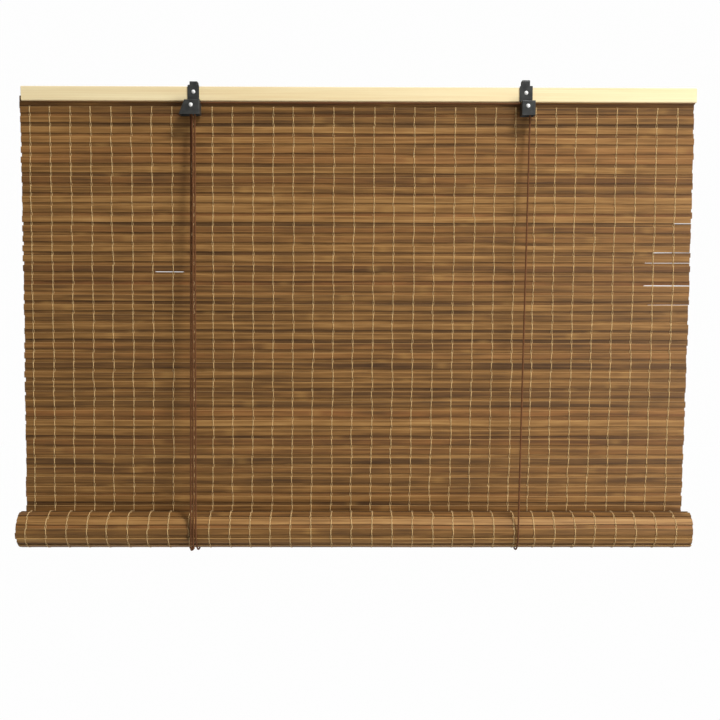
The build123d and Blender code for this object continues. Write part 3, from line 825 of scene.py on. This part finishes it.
for piece, node in ((left_front, "left_lift_front"), (right_front, "right_lift_front"),
                    (outer_strand, "outer_pull_strand"), (inner_strand, "inner_pull_strand")):
    settle(piece, "root", [node])
    gather_up(piece)
for piece, node in ((left_back, "left_lift_back"), (right_back, "right_lift_back")):
    settle(piece, "root", [node])
    gather_up(piece)
for piece, node in ((outer_tail, "outer_pull_tail"), (inner_tail, "inner_pull_tail")):
    settle(piece, None, [node])
    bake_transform(piece)
settle(knot, "pull_end", ["end_knot"])


def finish_nodes(material, *names):
    """Give a material to nodes whose solids are shown as they are."""
    for name in names:
        mesh = nodes[name].data
        mesh.materials.clear()
        mesh.materials.append(material)


finish_nodes(pine, "headrail")
finish_nodes(batten_wood, "bottom_batten")
finish_nodes(black_enamel, "left_bracket", "right_bracket")
finish_nodes(white_enamel, "left_rivet", "right_rivet", "bracket_screws")
finish_nodes(plated, "mat_nails", "lock_roller")
finish_nodes(nylon, "left_pulley", "right_pulley")
finish_nodes(wound_cord, "right_cord_top", "left_cord_top", "left_lift_loop",
             "right_lift_loop")


# Floor, backdrop, light and camera

ground_reach = 12.0
floor_z = -1.3
wall_y = 5.0
ground_grey = 0.45
seen_share = 0.985
world_light = 0.28


def make_stage():
    """White ground that keeps the blind's shadow, and shows white to the camera, to mirrors
    and through glass."""
    material, tree, shader = new_material("White ground")
    shader["Base Color"].default_value = (ground_grey, ground_grey, ground_grey, 1)
    shader["Roughness"].default_value = 0.9
    path = place(tree, "ShaderNodeLightPath").outputs
    seen = calculate(tree, "MAXIMUM", path["Is Camera Ray"], calculate(
        tree, "MAXIMUM", path["Is Glossy Ray"], path["Is Transmission Ray"]))
    glow = place(tree, "ShaderNodeEmission", {"Color": (1, 1, 1, 1), "Strength": 1.0})
    share = calculate(tree, "MULTIPLY", seen, seen_share)
    blend = place(tree, "ShaderNodeMixShader", {0: share, 1: tree.nodes[
        "Principled BSDF"].outputs[0], 2: glow.outputs[0]})
    tree.links.new(blend.outputs[0], tree.nodes["Material Output"].inputs["Surface"])
    mesh = bpy.data.meshes.new("ground")
    left, right = -ground_reach, ground_reach
    mesh.from_pydata([(left, left, floor_z), (right, left, floor_z), (right, wall_y, floor_z),
                      (left, wall_y, floor_z), (right, wall_y, right), (left, wall_y, right)],
                     [], [(0, 1, 2, 3), (3, 2, 4, 5)])
    mesh.materials.append(material)
    ground = bpy.data.objects.new("ground", mesh)
    bpy.context.scene.collection.objects.link(ground)


def make_world():
    """Even pale light, which the camera sees as white."""
    world = bpy.data.worlds.new("Studio")
    bpy.context.scene.world = world
    world.use_nodes = True
    tree = world.node_tree
    path = place(tree, "ShaderNodeLightPath").outputs
    seen = calculate(tree, "MAXIMUM", path["Is Camera Ray"], path["Is Transmission Ray"])
    strength = remap(tree, seen, 0, 1, world_light, 1.0)
    tree.links.new(strength, tree.nodes["Background"].inputs["Strength"])
    tree.nodes["Background"].inputs["Color"].default_value = (1, 1, 1, 1)


def add_lamp(name, place_at, aim, size, power):
    """A square area lamp that faces a point."""
    lamp = bpy.data.lights.new(name, "AREA")
    lamp.size = size
    lamp.energy = power
    holder = bpy.data.objects.new(name, lamp)
    bpy.context.scene.collection.objects.link(holder)
    holder.location = place_at
    holder.rotation_mode = "QUATERNION"
    holder.rotation_quaternion = (Vector(aim) - Vector(place_at)).to_track_quat("-Z", "Y")


def add_camera():
    """The camera of the photograph: in front of the blind, a little left of its middle,
    turned slightly to the right and down, with the axes worked out from its three turns."""
    eye = Vector((-0.0083, -1.3198, -0.2570))
    down, aside, roll = radians(4.271), radians(0.416), radians(0.120)
    level_right = Vector((cos(aside), -sin(aside), 0))
    level_forward = Vector((sin(aside), cos(aside), 0))
    level_up = Vector((0, 0, 1))
    forward = level_forward * cos(down) - level_up * sin(down)
    up = level_forward * sin(down) + level_up * cos(down)
    right = level_right * cos(roll) + up * sin(roll)
    up = up * cos(roll) - level_right * sin(roll)
    camera = bpy.data.cameras.new("Camera")
    camera.lens = 48.24
    camera.sensor_width = 36
    holder = bpy.data.objects.new("Camera", camera)
    bpy.context.scene.collection.objects.link(holder)
    turn = Matrix((right, up, -forward)).transposed().to_4x4()
    holder.matrix_world = Matrix.Translation(eye) @ turn
    bpy.context.scene.camera = holder


make_stage()
make_world()
add_lamp("Key", (1.7, -1.9, 3.2), (0.1, 0, -0.3), 1.0, 155)
add_lamp("Side", (1.15, -1.05, -0.4), (0, 0, -0.3), 0.9, 12)
add_camera()
bpy.context.scene.view_settings.view_transform = "Standard"
